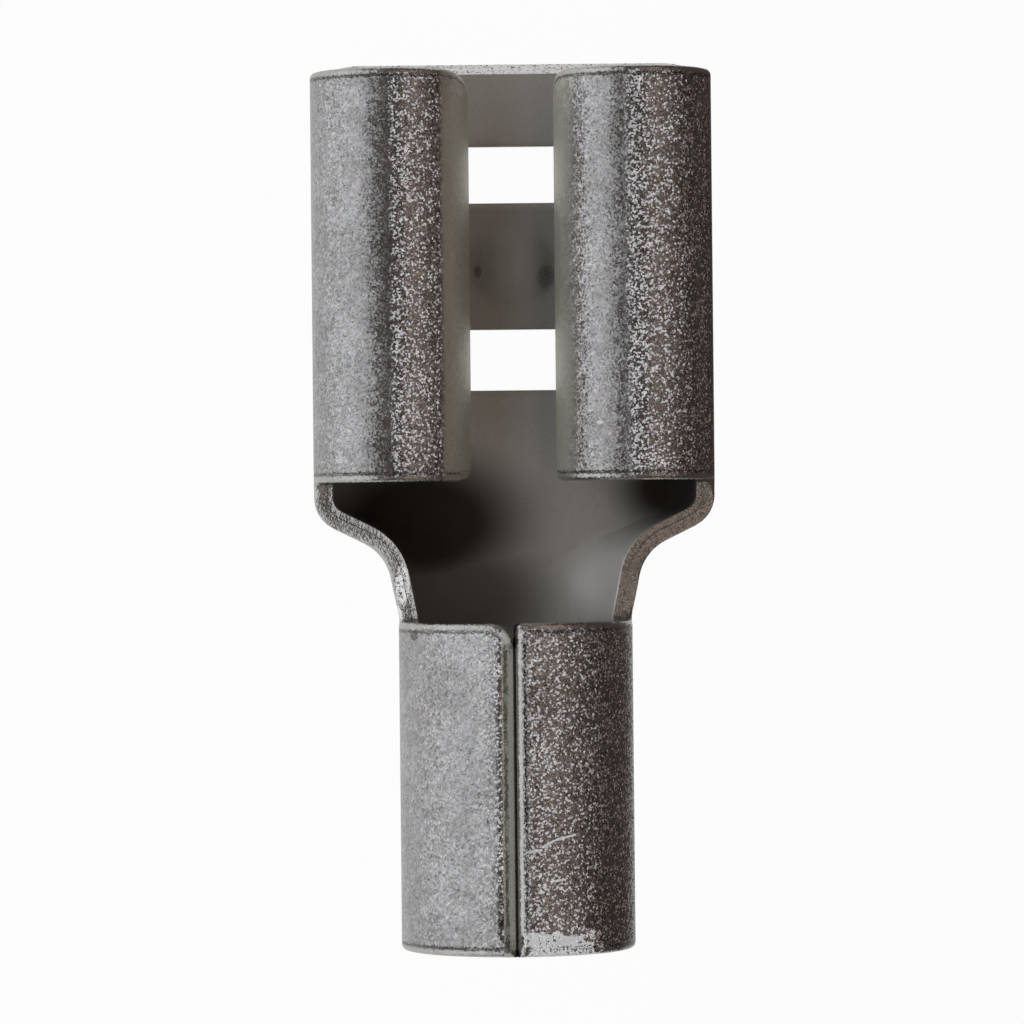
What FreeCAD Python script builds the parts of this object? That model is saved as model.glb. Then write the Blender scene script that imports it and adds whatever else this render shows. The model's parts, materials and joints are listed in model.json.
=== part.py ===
import FreeCAD, Part
import math
import os
from FreeCAD import Vector

# Female spade terminal: one piece of tin-plated sheet, lying on its base.
# X runs across, +Y points out of the mouth where the tab goes in, -Y out of the wire barrel, +Z is up.
# The origin is the middle of the overall box, on the face that it lies on. All sizes are in millimetres.

# The tab that the receptacle takes
tab_width = 6.35
tab_thickness = 0.8
tab_side_room = 0.425
tab_grip = 0.08

# The sheet and the marks that the press leaves on it
sheet = 0.4
rolled_edge = 0.1

# The receptacle: base, side bends and rolled-over wings
bend_radius = 0.95
wall_straight = 0.525
roll_radius = 1.575
roll_length = 8.165
lip_reach = 0.27
lead_in_length = 0.22
lead_in_depth = 0.3
corner_rise_left = 1.4
corner_setback_left = 1.0
corner_rise_right = 1.1
corner_setback_right = 0.6
corner_rise_rear_left = 1.1
corner_setback_rear_left = 0.5
corner_rise_rear_right = 0.8
corner_setback_rear_right = 0.25

# The windows in the base and the round detent on the web between them
front_web = 1.67
front_window = 1.15
middle_web = 2.545
rear_window = 1.23
window_width = 4.4
window_corner = 0.2
detent_radius = 0.85
detent_height = 0.28

# The open trough between the rolls and the barrel
trough_length = 2.77
shoulder_setback = 0.25
shoulder_radius = 0.7
shoulder_straight = 0.66
neck_radius = 1.0
neck_flare = 0.14
flat_fade = 4.5
rim_height = 1.45
notch_corner = 0.25

# The wire barrel: a round that butts at the top, open by the seam's gap, with a hairline flat to lie on
barrel_width = 4.625
barrel_length = 6.47
barrel_seat = 0.2
seam_gap = 0.1
seam_edge = 0.14
seam_corner_left = 0.35
seam_corner_right = 0.1

# How many sections the trough is lofted through, how far cutters run past what they cut,
# and how close two places are when they count as one
trough_stations = 18
clear = 1.0
near = 0.0001

# Worked out from the sizes above
half_width = tab_width / 2 + tab_side_room + sheet
flat_half = half_width - bend_radius
roll_x = half_width - roll_radius
roll_z = bend_radius + wall_straight
roll_height = roll_z + roll_radius
lip_z = sheet + tab_thickness - tab_grip
slot_middle = (sheet + lip_z) / 2
seam_half = seam_gap / 2
barrel_radius = barrel_width / 2
barrel_axis = math.sqrt(barrel_radius ** 2 - (barrel_seat / 2) ** 2)
barrel_height = barrel_axis + math.sqrt(barrel_radius ** 2 - seam_half ** 2)
overall = lip_reach + roll_length + trough_length + barrel_length
mouth_y = overall / 2
roll_front = mouth_y - lip_reach
roll_rear = roll_front - roll_length
barrel_front = roll_rear - trough_length
barrel_rear = barrel_front - barrel_length
shoulder_start = roll_rear - shoulder_setback
rear_rim = barrel_axis - notch_corner
trough_top = max(rim_height, rear_rim) + notch_corner + sheet
high = max(roll_height, barrel_height) + clear
wide = half_width + clear


def at(x, z, y=0.0):
    """A point of a cross-section, which is drawn in X and Z."""
    return Vector(x, y, z)


def line(a, b):
    return Part.LineSegment(a, b).toShape()


def arc(a, through, b):
    return Part.Arc(a, through, b).toShape()


def turn(centre, radius, degrees):
    """The point of a circle in a cross-section at an angle from +X towards +Z."""
    angle = math.radians(degrees)
    return at(centre[0] + radius * math.cos(angle), centre[1] + radius * math.sin(angle))


def box(x0, x1, y0, y1, z0, z1):
    return Part.makeBox(x1 - x0, y1 - y0, z1 - z0, Vector(x0, y0, z0))


def both_sides(right):
    """A right half and its mirror image, joined on the middle plane."""
    return right.fuse(right.mirror(Vector(0, 0, 0), Vector(1, 0, 0))).removeSplitter()


def side_prism(outline, x0, x1):
    """A cutter that runs across the terminal: a closed side view, given in Y and Z, carried along X."""
    face = Part.Face(Part.Wire(outline))
    face.translate(Vector(x0, 0, 0))
    return face.extrude(Vector(x1 - x0, 0, 0))


def corner_cutter(corner, radius, away, low):
    """What rounding a corner in plan removes above a height, for an edge that faces away from the solid."""
    x, y = corner
    centre_x = x - away[0] * radius
    centre_y = y - away[1] * radius
    spare_x = abs(x)
    x0, x1 = sorted((centre_x, x + away[0] * spare_x))
    y0, y1 = sorted((centre_y, y + away[1] * clear))
    block = box(x0, x1, y0, y1, low, high)
    return block.cut(Part.makeCylinder(radius, high - low, Vector(centre_x, centre_y, low)))


# Receptacle


def curl_half():
    """The right half of the curled section: base, bend, wall and roll, out and back."""
    inner_bend = bend_radius - sheet
    inner_roll = roll_radius - sheet
    bend = (flat_half, bend_radius)
    roll = (roll_x, roll_z)
    return [
        line(at(0, 0), turn(bend, bend_radius, -90)),
        arc(turn(bend, bend_radius, -90), turn(bend, bend_radius, -45), turn(bend, bend_radius, 0)),
        line(turn(bend, bend_radius, 0), turn(roll, roll_radius, 0)),
        arc(turn(roll, roll_radius, 0), turn(roll, roll_radius, 90), turn(roll, roll_radius, 180)),
        line(turn(roll, roll_radius, 180), turn(roll, inner_roll, 180)),
        arc(turn(roll, inner_roll, 180), turn(roll, inner_roll, 90), turn(roll, inner_roll, 0)),
        line(turn(roll, inner_roll, 0), turn(bend, inner_bend, 0)),
        arc(turn(bend, inner_bend, 0), turn(bend, inner_bend, -45), turn(bend, inner_bend, -90)),
        line(turn(bend, inner_bend, -90), at(0, sheet)),
        line(at(0, sheet), at(0, 0)),
    ]


def lip_half():
    """The right wing's lip in section: straight down from the roll, with a rounded tip over the slot."""
    outer = roll_x - roll_radius
    inner = outer + sheet
    tip = lip_z + sheet / 2
    return [
        line(at(inner, roll_z), at(outer, roll_z)),
        line(at(outer, roll_z), at(outer, tip)),
        arc(at(outer, tip), at(outer + sheet / 2, lip_z), at(inner, tip)),
        line(at(inner, tip), at(inner, roll_z)),
    ]


def lengthways(outline, y0, y1):
    """A cross-section carried from one place along the terminal to another."""
    solid = Part.Face(Part.Wire(outline)).extrude(Vector(0, y1 - y0, 0))
    solid.translate(Vector(0, y0, 0))
    return solid


def receptacle_blank():
    """The receptacle before its cut-outs: the curled section from trough to mouth, its front edge rolled."""
    curl = lengthways(curl_half(), shoulder_start, mouth_y).cut(mouth_cutter())
    curl = curl.makeFillet(rolled_edge, outer_edges(curl, roll_front, roll_depth))
    return both_sides(curl.fuse(lengthways(lip_half(), shoulder_start, roll_front)))


def mouth_cutter():
    """The front in side view: a bevel that leads the tab in, then the wings cut back behind the base's lip."""
    points = [
        Vector(0, mouth_y, sheet - lead_in_depth),
        Vector(0, mouth_y - lead_in_length, sheet),
        Vector(0, roll_front, bend_radius),
        Vector(0, roll_front, high),
        Vector(0, mouth_y + clear, high),
        Vector(0, mouth_y + clear, sheet - lead_in_depth),
    ]
    return side_prism([line(a, b) for a, b in zip(points, points[1:] + points[:1])], -wide, wide)


def wing_end_cutter():
    """Clears the wings between the rolls' rear ends and the shoulder, so that only base and walls go on."""
    return box(-roll_x, roll_x, shoulder_start - clear, roll_rear, slot_middle, high)


def lip_corner_cutter(side, end, away, rise, setback):
    """Rounds one wing's corner: an arc that leaves the roll's end and comes to the lip set back from it.

    In side view the arc is tangent to the end at a height above the lip, and from the lip it goes on straight.
    """
    radius = (rise ** 2 + setback ** 2) / (2 * setback)
    flat = radius - setback
    slope = flat / rise
    half_turn = math.asin(rise / radius) / 2
    middle_y = end - away * radius * (1 - math.cos(half_turn))
    middle_z = lip_z + rise - radius * math.sin(half_turn)
    start = Vector(0, end, lip_z + rise)
    lip = Vector(0, end - away * setback, lip_z)
    below = Vector(0, lip.y - away * (lip_z - slot_middle) / slope, slot_middle)
    outside_low = Vector(0, end + away * clear, slot_middle)
    outside_high = Vector(0, end + away * clear, lip_z + rise)
    outline = [
        arc(start, Vector(0, middle_y, middle_z), lip),
        line(lip, below),
        line(below, outside_low),
        line(outside_low, outside_high),
        line(outside_high, start),
    ]
    x0, x1 = sorted((0, side * roll_x))
    return side_prism(outline, x0, x1)


def lip_corner_cutters():
    """The wings' corners at their lips, at the mouth and at the rear."""
    return [
        lip_corner_cutter(-1, roll_front, 1, corner_rise_left, corner_setback_left),
        lip_corner_cutter(1, roll_front, 1, corner_rise_right, corner_setback_right),
        lip_corner_cutter(-1, roll_rear, -1, corner_rise_rear_left, corner_setback_rear_left),
        lip_corner_cutter(1, roll_rear, -1, corner_rise_rear_right, corner_setback_rear_right),
    ]


def window(front, length):
    """A slot right through the base, with rounded corners."""
    half = window_width / 2
    slot = box(-half, half, front - length, front, -clear, slot_middle)
    return slot.makeFillet(window_corner, [e for e in slot.Edges if is_upright(e)])


def is_upright(edge):
    a, b = (vertex.Point for vertex in edge.Vertexes)
    return math.hypot(a.x - b.x, a.y - b.y) < near


def window_cutters():
    first = mouth_y - front_web
    second = first - front_window - middle_web
    return [window(first, front_window), window(second, rear_window)]


def detent():
    """The dome pressed up from below and the hollow under it, both about one centre."""
    y = mouth_y - front_web - front_window - middle_web / 2
    dome = (detent_radius ** 2 + detent_height ** 2) / (2 * detent_height)
    centre = Vector(0, y, sheet + detent_height - dome)
    above = box(-wide, wide, y - wide, y + wide, 0, high)
    raised = Part.makeSphere(dome, centre).common(above)
    hollow = Part.makeSphere(dome - sheet, centre)
    return raised, hollow


# Trough


def plan_points(inset):
    """Evenly spaced points down the trough's side in plan, inset from its outer face.

    The side is a shoulder arc, a straight, a neck arc and a taper, each tangent to the last. The turn of
    the shoulder is the one that brings the neck in to the barrel's width and its flare, and the taper is
    the tangent from the barrel's front to the neck arc.
    """
    fall = half_width - barrel_width / 2 - neck_flare
    radii = shoulder_radius + neck_radius
    lead = math.atan2(radii, shoulder_straight)
    angle = lead + math.asin((fall - radii) / math.hypot(radii, shoulder_straight))
    shoulder = Vector(half_width - shoulder_radius, shoulder_start, 0)
    neck = shoulder + radii * heading(angle) - shoulder_straight * across(angle)
    end = Vector(barrel_width / 2 - inset, barrel_front, 0)
    convex = shoulder_radius - inset
    hollow = -neck_radius - inset
    to_neck = neck - end
    taper = math.atan2(to_neck.x, to_neck.y) + math.asin(hollow / to_neck.Length)
    side = Part.Wire([
        plan_arc(shoulder, convex, 0, angle),
        line(shoulder + convex * heading(angle), neck + hollow * heading(angle)),
        plan_arc(neck, hollow, angle, taper),
        line(neck + hollow * heading(taper), end),
    ])
    return side.discretize(Number=trough_stations)


def heading(angle):
    """Outward direction in plan where the trough's side has turned inward by an angle."""
    return Vector(math.cos(angle), -math.sin(angle), 0)


def across(angle):
    """Direction against the run of the trough's side, where it has turned inward by an angle."""
    return Vector(math.sin(angle), math.cos(angle), 0)


def plan_arc(centre, reach, first, last):
    """An arc of the side in plan between two headings; its reach is negative where the side is hollow."""
    return arc(*[centre + reach * heading(angle) for angle in (first, (first + last) / 2, last)])


def conic(start, middle, end, weight):
    """A conic arc between two points, tangent there to the lines that meet in the middle point."""
    curve = Part.BSplineCurve()
    curve.buildFromPolesMultsKnots([start, middle, end], [3, 3], [0, 1], False, 2, [1, weight, 1])
    return curve.toShape()


def seat(inset):
    """Half the flat under the barrel's round, at a depth in the sheet, and how steeply the round leaves it."""
    radius = barrel_radius - inset
    half = math.sqrt(radius ** 2 - (barrel_axis - inset) ** 2)
    return half, math.asin(half / radius)


def trough_section(y, half, inset):
    """A closed U: flat bottom, corners that grow from the base's bend to the barrel's round, upright walls."""
    along = (shoulder_start - y) / (shoulder_start - barrel_front)
    ease = along * along * (3 - 2 * along)
    seat_half, seat_tilt = seat(inset)
    flat = seat_half + (flat_half - seat_half) * (1 - along ** 2) ** flat_fade
    upright = bend_radius + (barrel_axis - bend_radius) * ease
    low = inset + ease * (half - flat) * math.tan(seat_tilt)
    weight = math.cos((math.pi / 2 - ease * seat_tilt) / 2)
    edges = [
        line(at(-flat, inset, y), at(flat, inset, y)),
        conic(at(flat, inset, y), at(half, low, y), at(half, upright, y), weight),
        line(at(half, upright, y), at(half, trough_top, y)),
        line(at(half, trough_top, y), at(-half, trough_top, y)),
        line(at(-half, trough_top, y), at(-half, upright, y)),
        conic(at(-half, upright, y), at(-half, low, y), at(-flat, inset, y), weight),
    ]
    return Part.Wire(edges)


def trough_skin(inset):
    return Part.makeLoft([trough_section(p.y, p.x, inset) for p in plan_points(inset)], True, False)


def rim_cutter():
    """The cut-out between the rolls and the barrel in side view: square to both, with rounded corners."""
    r = notch_corner
    k = r * (1 - math.sqrt(0.5))
    third = trough_length / 3
    roll_top = Vector(0, roll_rear, high)
    roll_low = Vector(0, roll_rear, rim_height + r)
    roll_bend = Vector(0, roll_rear - k, rim_height + k)
    rim_front = Vector(0, roll_rear - r, rim_height)
    rim_rear = Vector(0, barrel_front + r, rear_rim)
    barrel_bend = Vector(0, barrel_front + k, rear_rim + k)
    barrel_low = Vector(0, barrel_front, rear_rim + r)
    barrel_top = Vector(0, barrel_front, high)
    rim = Part.BezierCurve()
    rim.setPoles([rim_front, rim_front - Vector(0, third, 0), rim_rear + Vector(0, third, 0), rim_rear])
    return side_prism([
        line(roll_top, roll_low),
        arc(roll_low, roll_bend, rim_front),
        rim.toShape(),
        arc(rim_rear, barrel_bend, barrel_low),
        line(barrel_low, barrel_top),
        line(barrel_top, roll_top),
    ], -wide, wide)


# Barrel


def barrel_arc(inset):
    """The right half of the barrel's round, at a depth in the sheet: from its seat out and up to the seam."""
    radius = barrel_radius - inset
    side = at(radius, barrel_axis)
    top = at(seam_half, barrel_axis + math.sqrt(radius ** 2 - seam_half ** 2))
    return [at(seat(inset)[0], inset), side, top]


def barrel():
    """The round joined by the narrow flat that it lies on, butted at the top with rounded edges."""
    outer = barrel_arc(0)
    inner = barrel_arc(sheet)
    section = [
        line(at(0, 0), outer[0]),
        arc(*outer),
        line(outer[2], inner[2]),
        arc(*reversed(inner)),
        line(inner[0], at(0, sheet)),
        line(at(0, sheet), at(0, 0)),
    ]
    half = lengthways(section, barrel_rear, barrel_front)
    half = half.makeFillet(seam_edge, [e for e in half.Edges if is_crest(e)])
    return both_sides(half.makeFillet(rolled_edge, outer_edges(half, barrel_rear, barrel_depth)))


def is_crest(edge):
    """Whether an edge is the outer one along the seam."""
    middle = edge.CenterOfMass
    return abs(middle.z - barrel_height) < near and abs(edge.Length - barrel_length) < near


def seam_corner_cutters():
    """The barrel's front corners at the seam, rounded in plan."""
    return [
        corner_cutter((-seam_half, barrel_front), seam_corner_left, (1, 1), barrel_axis),
        corner_cutter((seam_half, barrel_front), seam_corner_right, (-1, 1), barrel_axis),
    ]


# Rolled edges


def barrel_depth(x, z):
    """How deep in the sheet a point of the barrel's cross-section is."""
    return barrel_radius - math.hypot(x, z - barrel_axis)


def roll_depth(x, z):
    """How deep in the sheet a point of the rolls' or their walls' cross-section is."""
    if z > roll_z:
        return roll_radius - math.hypot(abs(x) - roll_x, z - roll_z)
    return half_width - abs(x)


def outer_edges(shape, y, depth):
    """The edges in the cross-section at y that keep to the outer half of the sheet."""
    found = []
    for edge in shape.Edges:
        points = [vertex.Point for vertex in edge.Vertexes] + [edge.CenterOfMass]
        flat = all(abs(point.y - y) < near for point in points)
        if flat and all(abs(depth(v.Point.x, v.Point.z)) < sheet / 2 for v in edge.Vertexes):
            found.append(edge)
    return found


# The whole terminal


def terminal():
    raised, hollow = detent()
    cutters = [wing_end_cutter()] + lip_corner_cutters() + window_cutters()
    receptacle = receptacle_blank().cut(cutters).fuse(raised).cut(hollow)
    trough = trough_skin(0).cut(trough_skin(sheet))
    front = receptacle.fuse(trough).cut(rim_cutter())
    return front.fuse(barrel().cut(seam_corner_cutters())).removeSplitter().Solids[0]


shape = terminal()
os.makedirs("parts", exist_ok=True)
shape.exportStep("parts/terminal.step")
print("solids", len(shape.Solids), "valid", shape.isValid(), "volume in mm3", round(shape.Volume, 3))
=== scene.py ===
import json
import math
from functools import reduce

import bpy
import numpy as np
from bpy.props import FloatProperty, FloatVectorProperty, PointerProperty
from bpy.types import Operator, Panel, PropertyGroup
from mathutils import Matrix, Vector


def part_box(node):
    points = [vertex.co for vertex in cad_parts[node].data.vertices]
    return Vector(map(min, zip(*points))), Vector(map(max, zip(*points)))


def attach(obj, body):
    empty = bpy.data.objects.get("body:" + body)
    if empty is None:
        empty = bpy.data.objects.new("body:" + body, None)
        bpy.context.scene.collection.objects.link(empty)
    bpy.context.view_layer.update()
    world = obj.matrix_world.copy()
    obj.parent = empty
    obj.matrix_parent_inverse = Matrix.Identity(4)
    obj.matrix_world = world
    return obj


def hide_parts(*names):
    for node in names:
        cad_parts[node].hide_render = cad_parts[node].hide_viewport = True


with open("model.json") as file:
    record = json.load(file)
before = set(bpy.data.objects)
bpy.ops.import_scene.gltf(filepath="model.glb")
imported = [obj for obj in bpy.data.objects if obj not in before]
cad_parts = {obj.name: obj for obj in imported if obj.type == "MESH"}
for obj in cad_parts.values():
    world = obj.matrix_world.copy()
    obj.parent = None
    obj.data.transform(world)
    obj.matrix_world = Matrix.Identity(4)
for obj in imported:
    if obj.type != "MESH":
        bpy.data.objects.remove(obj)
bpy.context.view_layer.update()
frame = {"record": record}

bl_info = {
    "name": "Female spade terminal",
    "version": (1, 0, 0),
    "blender": (4, 5, 0),
    "location": "3D View > Sidebar > Terminal",
    "description": "Dresses a bare spade terminal: its formed sheet, its tin plating and a small studio",
    "category": "Object",
}

# The frame gives the overall box and the barrel's bore. X runs across, +Y is the mouth, +Z is up.
MM = 0.001
NODE = "terminal"
LOW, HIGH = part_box(NODE)
BORE = next(mount for mount in frame["record"]["mounts"] if mount["name"] == "wire_barrel")
BORE_RADIUS = BORE["dims"]["r_mm"] * MM
BORE_HEIGHT = BORE["pos_m"][2]

# How fine the sheet's grid is, and the rows and columns that crowd towards a free edge
CELL = 0.11 * MM
TROUGH_CELL = 0.8 * CELL
BARREL_CELL = 1.25 * CELL
EDGE_STEPS = np.array([0, 0.015, 0.045, 0.085, 0.14, 0.22]) * MM
WING_COLUMNS = 50
CURVE_SAMPLES = 120
FLAT_SAMPLES = 8
TINY = 1e-9

# The turn over which the barrel's wall goes straight on at the seam, the power by which the trough's flat fades
# out, and the power that eases the detent's foot
RING_STRAIGHT = math.radians(11)
FLAT_FADE = 4.5
DETENT_FOOT = 1.4

# Shares of the rolls' length over which rows are drawn to the shape of their ends, and the reach of a notch's
# pull on the rows, in radii of its corner
FRONT_SHARE, REAR_SHARE = 0.5, 0.3
NOTCH_REACH = 6


# Sizes and colours that a user may change


def length(name, millimetres, about):
    value = millimetres * MM
    return FloatProperty(
        name=name, description=about, default=value, min=0, precision=6, unit="LENGTH", subtype="DISTANCE"
    )


def rounded(name, rise, setback):
    about = "Height over which the roll's corner is rounded at its lip, and how far back it is rounded there"
    value = (rise * MM, setback * MM)
    return FloatVectorProperty(name=name, description=about, default=value, min=0, size=2, precision=6, unit="LENGTH")


def share(name, value, about):
    return FloatProperty(name=name, description=about, default=value, min=0, max=1, subtype="FACTOR")


def colour(name, value, about):
    return FloatVectorProperty(name=name, description=about, default=value, min=0, max=1, size=3, subtype="COLOR")


class SheetForm(PropertyGroup):
    """Sizes of the folded sheet."""

    thickness: length("Sheet", 0.4, "Thickness of the sheet")
    bend_radius: length("Side bend", 0.95, "Outer radius where the base turns up into a wall")
    wall_straight: length("Wall", 0.525, "Straight height of a wall between its bend and its roll")
    roll_radius: length("Roll", 1.575, "Outer radius of a rolled-over wing")
    roll_length: length("Roll length", 8.165, "Length of the rolls")
    front_corner_left: rounded("Left roll's front corner", 1.4, 1.0)
    front_corner_right: rounded("Right roll's front corner", 1.1, 0.6)
    rear_corner_left: rounded("Left roll's rear corner", 1.1, 0.5)
    rear_corner_right: rounded("Right roll's rear corner", 0.8, 0.25)
    base_lip: length("Base lip", 0.27, "How far the base stands out in front of the rolls")
    lip_height: length("Lip height", 1.12, "Height of the wings' lips over the underside")
    lead_in_length: length("Lead-in length", 0.22, "Length of the bevel that leads the tab in")
    lead_in_depth: length("Lead-in depth", 0.3, "Depth of the bevel that leads the tab in")
    window_first: length("First window", 1.67, "From the front edge to the first window")
    window_first_length: length("First window length", 1.15, "Length of the first window")
    window_second: length("Second window", 5.365, "From the front edge to the second window")
    window_second_length: length("Second window length", 1.23, "Length of the second window")
    window_width: length("Window width", 4.4, "Width of both windows")
    window_corner: length("Window corner", 0.2, "Corner radius of both windows")
    detent_radius: length("Detent", 0.85, "Radius of the detent on the middle web")
    detent_height: length("Detent height", 0.18, "How high the detent is pressed up")
    trough_length: length("Trough", 2.77, "Length of the open trough")
    shoulder_setback: length("Shoulder setback", 0.29, "From the rolls to where the trough starts to narrow")
    shoulder_radius: length("Shoulder", 0.7, "Outer radius of the trough's shoulder in plan")
    shoulder_straight: length("Shoulder straight", 0.66, "Straight stretch between shoulder and neck")
    neck_radius: length("Neck", 1.0, "Outer radius of the neck in plan")
    neck_flare: length("Neck flare", 0.14, "How much wider the neck is than the barrel, each side")
    rim_height: length("Rim", 1.45, "Height of the trough's rim at the rolls")
    notch_corner: length("Notch corner", 0.25, "Corner radius where the rim meets rolls and barrel")
    seam_gap: length("Seam", 0.09, "Gap between the barrel's two edges")
    seam_reach: length("Seam reach", 0.075, "How far the left half's inner edge reaches across the gap")
    seam_shift: length("Seam shift", 0.06, "How far left of the middle the seam runs")
    seam_slope: length("Seam slope", 0.24, "How far the left half's cut edge slants back at the seam")
    seam_slope_depth: length("Seam slope depth", 0.27, "How deep that slant goes")
    seam_corner_left: length("Left seam corner", 0.5, "Corner radius of the barrel's left half at the seam")
    seam_corner_right: length("Right seam corner", 0.12, "Corner radius of the barrel's right half at the seam")


class TinFinish(PropertyGroup):
    """Colours and texture of the plating."""

    tin: colour("Tin", (0.48, 0.48, 0.485), "Clean matte tin")
    inner: colour("Inner tin", (0.66, 0.66, 0.62), "The duller tin inside the fold")
    worn: colour("Worn tin", (0.72, 0.72, 0.63), "Plating rubbed thin at the lips and along the seam")
    # Painted shade: the colour laid in the trough where its shadow and dark reflections fall
    trough_shade: colour("Dirt", (0.03, 0.022, 0.016), "Dark film inside the trough")
    # Bright tin is also the colour of painted highlights: the barrel's end and front edge, glinting grains, the cut rim
    # and the trough's right wall
    bright: colour("Burnished tin", (0.86, 0.86, 0.85), "Tin that is rubbed bright")
    # Dull tin also paints shade on the right flanks of the right roll and the barrel
    dull: colour("Dull tin", (0.25, 0.245, 0.235), "Dull and stained tin")
    # Stain also paints shade: at the foot of the seam's slant and in the groove behind the outer edges
    stain: colour("Stain", (0.045, 0.035, 0.028), "Dark stains in corners and pits")
    # Cut-edge colour also paints the light band along the outer edges, a painted highlight
    cut: colour("Cut edge", (0.6, 0.6, 0.57), "Plating on the sheet's cut edges")
    grain: length("Grain", 0.036, "Size of the plating's grain")
    steepness: share("Steepness", 0.15, "How far the plating's grains lean")
    roughness: share("Roughness", 0.27, "Roughness of clean tin")


class StudioSetup(PropertyGroup):
    """The camera, the floor and the light."""

    camera_height: length("Camera height", 105, "Height of the camera over the floor")
    camera_x: FloatProperty(name="Camera X", description="Camera place across", default=-0.05 * MM, unit="LENGTH")
    camera_y: FloatProperty(name="Camera Y", description="Camera place along", default=-0.21 * MM, unit="LENGTH")
    camera_roll: FloatProperty(
        name="Camera roll", description="Turn of the camera", default=math.radians(-0.57), subtype="ANGLE"
    )
    lens: FloatProperty(name="Lens", description="Focal length", default=182.4, min=1, unit="CAMERA")
    fill_leans: FloatVectorProperty(
        name="Fill leans",
        description="How far each tube of the fill light leans over to the right",
        default=[math.radians(lean) for lean in (14, 20, 27, 35, 44, 54, 66)],
        size=7,
        unit="ROTATION",
    )
    fill_reach: length("Fill reach", 150, "How far the fill's tubes are from the terminal")
    fill_width: length("Fill width", 6, "How wide one of its tubes is")
    fill_strength: FloatProperty(
        name="Fill strength", description="Brightness of a tube that is right above", default=1.1, min=0
    )
    fill_tint: colour("Fill tint", (1.0, 0.78, 0.68), "Colour of the fill light")
    room: colour("Room", (0.055, 0.043, 0.037), "The dim room that the metal reflects")
    floor: colour("Floor", (0.65, 0.65, 0.65), "Pale floor")
    # Painted shadow: the floor's darker right side, which the metal reflects
    floor_right: colour("Floor on the right", (0.25, 0.24, 0.235), "Its right side, as the metal reflects it")


# The sheet's middle surface


def eased(t):
    """A smooth step from 0 to 1: three t squared less two t cubed, held at both ends."""
    t = np.clip(t, 0, 1)
    return t * t * (3 - 2 * t)


class Layout:
    """Places along the terminal and sizes of its middle line, worked out from the form and the frame."""

    def __init__(self, form):
        half_sheet = form.thickness / 2
        self.half_width = HIGH.x
        self.mouth = HIGH.y
        self.roll_front = self.mouth - form.base_lip
        self.roll_rear = self.roll_front - form.roll_length
        self.barrel_front = self.roll_rear - form.trough_length
        self.barrel_rear = LOW.y
        self.shoulder = self.roll_rear - form.shoulder_setback
        self.flat_half = self.half_width - form.bend_radius
        self.bend = form.bend_radius - half_sheet
        self.roll = form.roll_radius - half_sheet
        self.roll_height = form.bend_radius + form.wall_straight
        self.ring = BORE_RADIUS + half_sheet
        self.seat_tilt = math.acos((BORE_HEIGHT - half_sheet) / self.ring)
        self.seat = self.ring * math.sin(self.seat_tilt)
        self.rear_rim = BORE_HEIGHT - form.notch_corner
        self.bend_end = self.flat_half + self.bend * math.pi / 2
        self.wall_end = self.bend_end + form.wall_straight
        self.roll_end = self.wall_end + self.roll * math.pi
        self.wing_end = self.roll_end + self.roll_height - form.lip_height
        self.rim_start = self.bend_end + form.rim_height - form.bend_radius
        self.windows = [
            (self.mouth - form.window_first, form.window_first_length),
            (self.mouth - form.window_second, form.window_second_length),
        ]


def curl(s, form, at):
    """The curled section's middle line at a distance s from the middle of the base, and its heading there.

    Straight, a quarter bend, straight, half a round for the roll and straight down to the lip: each piece adds
    its own run, and the heading is the sum of the two turns.
    """
    bent = np.clip((s - at.flat_half) / at.bend, 0, math.pi / 2)
    rolled = np.clip((s - at.wall_end) / at.roll, 0, math.pi)
    x = np.minimum(s, at.flat_half) + at.bend * np.sin(bent) + at.roll * (np.cos(rolled) - 1)
    up = np.clip(s - at.bend_end, 0, form.wall_straight) - np.maximum(s - at.roll_end, 0)
    z = form.thickness / 2 + at.bend * (1 - np.cos(bent)) + up + at.roll * np.sin(rolled)
    return x, z, bent + rolled


def ring(s, form, at):
    """The barrel's middle line at a distance s from the middle of its seat, and its heading there.

    The seat is straight, then comes a round, and the last stretch up to the seam goes straight on, as the end
    of a rolled sheet does.
    """
    last = math.pi - RING_STRAIGHT
    round_end = at.seat + at.ring * (last - at.seat_tilt)
    heading = at.seat_tilt + np.clip((s - at.seat) / at.ring, 0, last - at.seat_tilt)
    straight = np.maximum(s - round_end, 0)
    turned = np.where(s > at.seat, at.ring * (np.sin(heading) - math.sin(at.seat_tilt)), 0)
    x = np.minimum(s, at.seat) + turned - straight * math.cos(RING_STRAIGHT)
    z = form.thickness / 2 + np.where(s > at.seat, at.ring * (math.cos(at.seat_tilt) - np.cos(heading)), 0)
    return x, z + straight * math.sin(RING_STRAIGHT), np.where(s > at.seat, heading, 0)


def ring_seam(form, at):
    """How far along the ring the seam's edge is: round to the last straight, then straight to half the gap."""
    last = math.pi - RING_STRAIGHT
    left = at.ring * math.sin(last) - form.seam_gap / 2
    return at.seat + at.ring * (last - at.seat_tilt) + left / math.cos(RING_STRAIGHT)


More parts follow.
